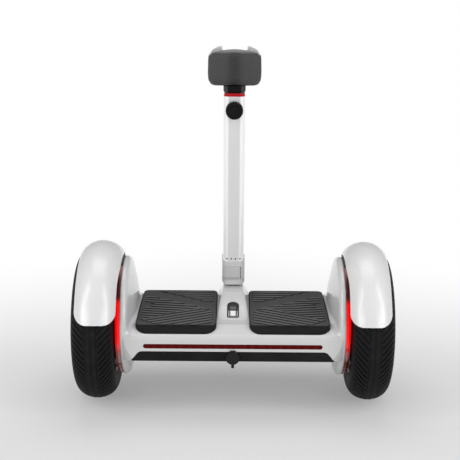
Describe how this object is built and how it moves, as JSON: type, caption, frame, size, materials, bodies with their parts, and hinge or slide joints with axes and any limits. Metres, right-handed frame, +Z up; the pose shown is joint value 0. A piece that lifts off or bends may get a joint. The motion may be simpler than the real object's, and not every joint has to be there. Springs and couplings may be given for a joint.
{
  "type": "self-balancing scooter",
  "caption": "Two-wheel self-balancing scooter with hub motors, foot mats, fenders and a folding, height-adjustable knee bar.",
  "frame": {"origin": "on the floor, midway between the wheels under the axle line", "axes": "+X to the rider's right along the axle, +Y forwards, +Z up"},
  "size_m": [0.5442, 0.2732, 0.6073],
  "materials": {
    "axle_steel": "ground steel",
    "battery_case": "dull sheet case",
    "bearing_steel": "ground steel",
    "board_green": "green board with dark parts",
    "bracket_black": "black moulding",
    "bracket_steel": "black powder coat",
    "bush_rubber": "dark rubber",
    "button_white": "lit white button",
    "cap_rubber": "soft black rubber",
    "cast_alloy": "bead-blasted casting",
    "collar_red": "translucent red ring",
    "cover_black": "fine-grained black moulding",
    "crown_grey": "light grey moulding",
    "frame_steel": "black powder coat",
    "hinge_alloy": "bead-blasted light grey casting",
    "hub_alloy": "dark silver cast alloy",
    "knob_black": "fine-grained black moulding",
    "lens_clear": "clear frosted lens",
    "lens_red": "deep red lens",
    "lever_alloy": "satin grey pressing",
    "magnet_nickel": "nickel-plated blocks",
    "mat_rubber": "dark grey ribbed rubber",
    "pad_leather": "dark grey stitched cover over foam",
    "pin_steel": "ground steel",
    "plate_dark": "black moulding",
    "plate_steel": "plated sheet",
    "post_alloy": "satin silver alloy",
    "rim_alloy": "dark silver cast alloy",
    "ring_red": "red light guide",
    "screw_steel": "plated screws",
    "shell_white": "pearl white moulding with a clear gloss",
    "socket_black": "black moulding",
    "stator_steel": "stacked steel sheets",
    "stem_alloy": "machined alloy",
    "tube_alloy": "satin silver anodised extrusion",
    "tyre_rubber": "black tyre rubber",
    "valve_brass": "nickel-plated brass",
    "winding_copper": "enamelled copper wire",
    "window_black": "smoked display window"
  },
  "bodies": {
    "chassis": {"upper_shell": "shell_white", "lower_cover": "cover_black", "cover_screws": "screw_steel", "chassis_frame": "frame_steel", "battery_pack": "battery_case", "control_board": "board_green", "rear_light_lens": "lens_red", "front_light_lens": "lens_clear", "display_window": "window_black", "charge_socket": "socket_black", "steering_base": "cast_alloy", "steering_pin": "pin_steel", "steering_bush": "bush_rubber", "side_plates": "plate_dark", "axle_clamps": "cast_alloy", "foot_plates": "plate_steel", "foot_sensors": "socket_black", "fender_brackets": "bracket_steel", "fender_left": "shell_white", "fender_right": "shell_white", "light_rings": "ring_red", "axles": "axle_steel", "stators": "stator_steel", "motor_windings": "winding_copper"},
    "wheel_left": {"tyre_left": "tyre_rubber", "rim_left": "rim_alloy", "magnets_left": "magnet_nickel", "bearings_left": "bearing_steel", "outer_hub_cover_left": "hub_alloy", "inner_hub_cover_left": "hub_alloy", "hub_screws_left": "screw_steel", "valve_left": "valve_brass"},
    "wheel_right": {"tyre_right": "tyre_rubber", "rim_right": "rim_alloy", "magnets_right": "magnet_nickel", "bearings_right": "bearing_steel", "outer_hub_cover_right": "hub_alloy", "inner_hub_cover_right": "hub_alloy", "hub_screws_right": "screw_steel", "valve_right": "valve_brass"},
    "mat_left": {"foot_mat_left": "mat_rubber"},
    "mat_right": {"foot_mat_right": "mat_rubber"},
    "button": {"power_button": "button_white"},
    "cap": {"charge_cap": "cap_rubber"},
    "steering": {"steering_stem": "stem_alloy", "hinge_lower": "hinge_alloy", "hinge_pin": "pin_steel"},
    "column": {"hinge_upper": "hinge_alloy", "cam_lever_pin": "pin_steel", "column_tube": "tube_alloy", "column_collar": "collar_red"},
    "latch": {"cam_lever": "lever_alloy"},
    "knob": {"lock_knob": "knob_black"},
    "head": {"inner_post": "post_alloy", "head_bracket": "bracket_black", "knee_pad": "pad_leather", "head_crown": "crown_grey"}
  },
  "joints": [
    {"name": "wheel_left_spin", "type": "hinge", "parent": "chassis", "child": "wheel_left", "pos_m": [-0.2363, 0, 0.1335], "axis": [1, 0, 0], "continuous": true},
    {"name": "wheel_right_spin", "type": "hinge", "parent": "chassis", "child": "wheel_right", "pos_m": [0.2363, 0, 0.1335], "axis": [1, 0, 0], "continuous": true},
    {"name": "mat_left_press", "type": "slide", "parent": "chassis", "child": "mat_left", "axis": [0, 0, -1], "range_m": [0, 0.0015], "stiffness_N_per_m": 20000},
    {"name": "mat_right_press", "type": "slide", "parent": "chassis", "child": "mat_right", "axis": [0, 0, -1], "range_m": [0, 0.0015], "stiffness_N_per_m": 20000},
    {"name": "button_press", "type": "slide", "parent": "chassis", "child": "button", "axis": [0, 0, -1], "range_m": [0, 0.0008], "stiffness_N_per_m": 800},
    {"name": "cap_open", "type": "hinge", "parent": "chassis", "child": "cap", "pos_m": [0, -0.106, 0.1238], "axis": [-1, 0, 0], "range_deg": [0, 110]},
    {"name": "column_lean", "type": "hinge", "parent": "chassis", "child": "steering", "pos_m": [0, 0.07, 0.168], "axis": [0, 1, 0], "range_deg": [-10, 10], "stiffness_Nm_per_rad": 20},
    {"name": "column_fold", "type": "hinge", "parent": "steering", "child": "column", "pos_m": [0, 0.0835, 0.207], "axis": [-1, 0, 0], "range_deg": [0, 95]},
    {"name": "latch_turn", "type": "hinge", "parent": "column", "child": "latch", "pos_m": [0.011, 0.05025, 0.2107], "axis": [0, 0, 1], "range_deg": [0, 95]},
    {"name": "head_slide", "type": "slide", "parent": "column", "child": "head", "axis": [0, 0, 1], "range_m": [0, 0.1]},
    {"name": "knob_turn", "type": "hinge", "parent": "column", "child": "knob", "pos_m": [0, 0.04, 0.505], "axis": [0, -1, 0], "continuous": true}
  ]
}
